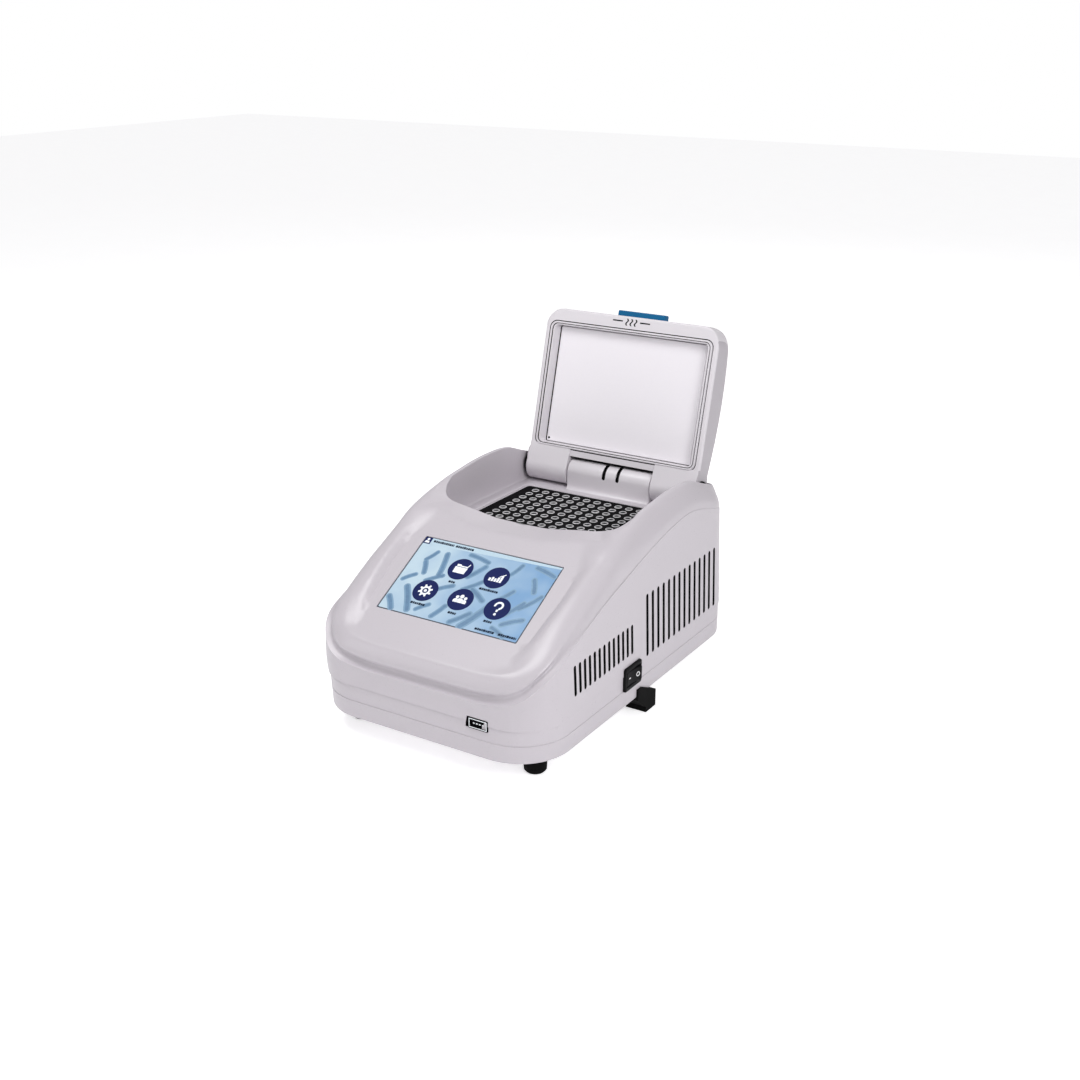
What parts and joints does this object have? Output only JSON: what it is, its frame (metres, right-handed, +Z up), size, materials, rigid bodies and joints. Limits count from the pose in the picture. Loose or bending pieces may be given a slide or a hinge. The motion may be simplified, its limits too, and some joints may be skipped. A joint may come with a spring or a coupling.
{
  "type": "thermal cycler",
  "caption": "Benchtop thermal cycler: sloping touch screen, black well block in a deep recess, heated lid held open on a rear hinge.",
  "frame": {"origin": "centre of the case footprint, on the bench plane that the feet rest on", "axes": "+X to the right seen from the front, +Y to the rear (hinge side), +Z up; the lid is drawn fully open"},
  "size_m": [0.1887, 0.2985, 0.2427],
  "materials": {
    "shell": "fine moulded texture, semi-matt",
    "dark_plastic": "fine texture",
    "black_plastic": "satin black",
    "blue_plastic": "satin blue",
    "steel": "plated",
    "aluminium": "satin",
    "block_metal": "dark anodised, bright well rims",
    "brass": "satin",
    "rubber": "matt",
    "silicone": "matt",
    "ceramic": "ceramic white",
    "board": "solder mask",
    "screen_glass": "lit display under clear glass",
    "heater_face": "smooth coated metal",
    "heater_mat": "polyimide film",
    "insulation": "felt"
  },
  "bodies": {
    "base": {"lower_case": "shell", "upper_case": "shell", "rear_panel": "dark_plastic", "case_screws": "steel", "panel_screws": "steel", "front_feet": "rubber", "rear_feet": "rubber", "side_feet": "rubber", "foot_screws": "steel", "block_frame": "shell", "block_gasket": "silicone", "sample_block": "block_metal", "block_sensors": "brass", "peltier_modules": "ceramic", "heat_sink": "aluminium", "sink_screws": "steel", "fan_duct": "dark_plastic", "fan_frames": "dark_plastic", "power_supply": "aluminium", "drive_board": "board", "control_board": "board", "display_module": "dark_plastic", "display_bracket": "steel", "touch_glass": "screen_glass", "usb_port": "steel", "switch_housing": "black_plastic", "power_inlet": "black_plastic", "hinge_cover": "shell", "hinge_block": "steel", "hinge_pin": "steel", "lid_springs": "steel", "heater_cables": "silicone", "catch_pin": "steel", "catch_spring": "steel"},
    "lid": {"lid_cover": "shell", "lid_bezel": "shell", "lid_chassis": "steel", "lid_screws": "steel", "lid_bushes": "brass", "guide_screws": "steel", "plate_springs": "steel", "latch_keeper": "steel", "button_spring": "steel"},
    "plate": {"heated_plate": "heater_face", "heater_mat": "heater_mat", "plate_insulation": "insulation"},
    "button": {"latch_button": "blue_plastic"},
    "catch": {"latch_catch": "steel"},
    "rocker": {"switch_rocker": "black_plastic"},
    "fan_left": {"fan_rotor_left": "dark_plastic"},
    "fan_right": {"fan_rotor_right": "dark_plastic"},
    "fuse": {"fuse_drawer": "black_plastic"}
  },
  "joints": [
    {"name": "lid_hinge", "type": "hinge", "parent": "base", "child": "lid", "pos_m": [0, 0.1119, 0.124], "axis": [1, 0, 0], "range_deg": [0, 104.8]},
    {"name": "plate_float", "type": "slide", "parent": "lid", "child": "plate", "axis": [0, 0.9668, -0.2554], "range_m": [0, 0.002], "stiffness_N_per_m": 4000, "springref_m": -0.001, "deforming": ["plate_springs"]},
    {"name": "button_press", "type": "slide", "parent": "lid", "child": "button", "axis": [0, -0.2554, -0.9668], "range_m": [0, 0.003], "stiffness_N_per_m": 400, "springref_m": -0.001, "deforming": ["button_spring"]},
    {"name": "catch_swing", "type": "hinge", "parent": "base", "child": "catch", "pos_m": [0, -0.0245, 0.095], "axis": [-1, 0, 0], "range_deg": [0, 20]},
    {"name": "power_rocker", "type": "hinge", "parent": "base", "child": "rocker", "pos_m": [0.0915, -0.022, 0.0365], "axis": [0, 0, 1], "range_deg": [0, 14]},
    {"name": "fan_left_spin", "type": "hinge", "parent": "base", "child": "fan_left", "pos_m": [-0.026, 0.13, 0.08], "axis": [0, 1, 0], "continuous": true},
    {"name": "fan_right_spin", "type": "hinge", "parent": "base", "child": "fan_right", "pos_m": [0.026, 0.13, 0.08], "axis": [0, 1, 0], "continuous": true},
    {"name": "fuse_slide", "type": "slide", "parent": "base", "child": "fuse", "axis": [0, 1, 0], "range_m": [0, 0.014]}
  ]
}
